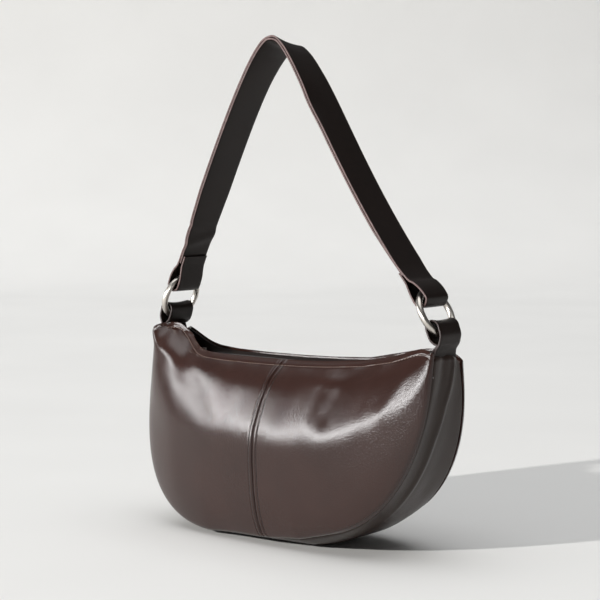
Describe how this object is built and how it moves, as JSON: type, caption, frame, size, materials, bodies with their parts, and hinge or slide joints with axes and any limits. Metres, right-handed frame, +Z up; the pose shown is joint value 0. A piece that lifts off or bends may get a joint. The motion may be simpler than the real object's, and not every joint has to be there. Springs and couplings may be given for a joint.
{
  "type": "half moon bag",
  "caption": "half moon leather shoulder bag with two-piece front panel, tapering gusset, recessed zip and a flat strap on two round rings",
  "frame": {"origin": "middle of the flat foot that the bag stands on", "axes": "+X runs along the bag to its right end as the front is seen, -Y is the front, +Z is up"},
  "size_m": [0.3403, 0.1284, 0.4671],
  "materials": {
    "panel_leather": "smooth espresso brown leather, glossy",
    "gusset_leather": "smooth dark brown leather, glossy",
    "strap_leather": "smooth near-black brown leather, satin",
    "lining": "plain woven lining cloth",
    "board": "stiff board",
    "zip_tape": "woven tape",
    "zip_metal": "satin nickel",
    "ring_metal": "satin nickel, lightly worn"
  },
  "bodies": {
    "bag": {"front_panel_left": "panel_leather", "front_panel_right": "panel_leather", "back_panel": "panel_leather", "gusset": "gusset_leather", "foot_board": "board", "lining_front": "lining", "lining_back": "lining", "lining_gusset": "lining", "front_facing": "panel_leather", "rear_facing": "panel_leather", "zip_end_tapes": "zip_tape", "zip_end_stops": "zip_metal", "left_tab_base": "strap_leather", "right_tab_base": "strap_leather"},
    "front_zip": {"front_zip_tape": "zip_tape", "front_zip_teeth": "zip_metal"},
    "rear_zip": {"rear_zip_tape": "zip_tape", "rear_zip_teeth": "zip_metal"},
    "slider": {"zip_slider": "zip_metal"},
    "puller": {"zip_puller": "zip_metal"},
    "left_tab": {"left_tab": "strap_leather"},
    "right_tab": {"right_tab": "strap_leather"},
    "left_ring": {"left_ring": "ring_metal"},
    "right_ring": {"right_ring": "ring_metal"},
    "strap": {"strap_outer_layer": "strap_leather", "strap_inner_layer": "strap_leather"}
  },
  "joints": [
    {"name": "front_zip_fold", "type": "hinge", "parent": "bag", "child": "front_zip", "pos_m": [0, -0.018, 0.164], "axis": [1, 0, 0], "range_deg": [0, 75]},
    {"name": "rear_zip_fold", "type": "hinge", "parent": "bag", "child": "rear_zip", "pos_m": [0, 0.018, 0.164], "axis": [1, 0, 0], "range_deg": [-75, 0]},
    {"name": "zip_slide", "type": "slide", "parent": "bag", "child": "slider", "axis": [1, 0, 0], "range_m": [0, 0.249]},
    {"name": "puller_swing", "type": "hinge", "parent": "slider", "child": "puller", "pos_m": [-0.1245, 0, 0.1686], "axis": [0, 1, 0], "range_deg": [0, 110]},
    {"name": "strap_fall", "type": "hinge", "parent": "bag", "child": "left_tab", "pos_m": [-0.16078, 0, 0.214], "axis": [1, 0, 0], "range_deg": [-50, 50]},
    {"name": "right_tab_fall", "type": "hinge", "parent": "bag", "child": "right_tab", "pos_m": [0.16257, 0, 0.214], "axis": [1, 0, 0], "range_deg": [-50, 50]},
    {"name": "left_ring_swing", "type": "hinge", "parent": "left_tab", "child": "left_ring", "pos_m": [-0.16078, 0, 0.20495], "axis": [0, 1, 0], "range_deg": [-10, 10]},
    {"name": "strap_swing", "type": "hinge", "parent": "left_ring", "child": "strap", "pos_m": [-0.14922, 0, 0.23505], "axis": [0, 1, 0], "range_deg": [-11, 11]},
    {"name": "right_ring_swing", "type": "hinge", "parent": "right_tab", "child": "right_ring", "pos_m": [0.16257, 0, 0.20576], "axis": [0, 1, 0], "range_deg": [-10.7, 10.7]}
  ],
  "couplings": [
    {"joint": "rear_zip_fold", "follows": "front_zip_fold", "ratio": -1},
    {"joint": "right_tab_fall", "follows": "strap_fall", "ratio": 1},
    {"joint": "strap_swing", "follows": "left_ring_swing", "ratio": -1.0942},
    {"joint": "right_ring_swing", "follows": "left_ring_swing", "ratio": 1.0671}
  ]
}
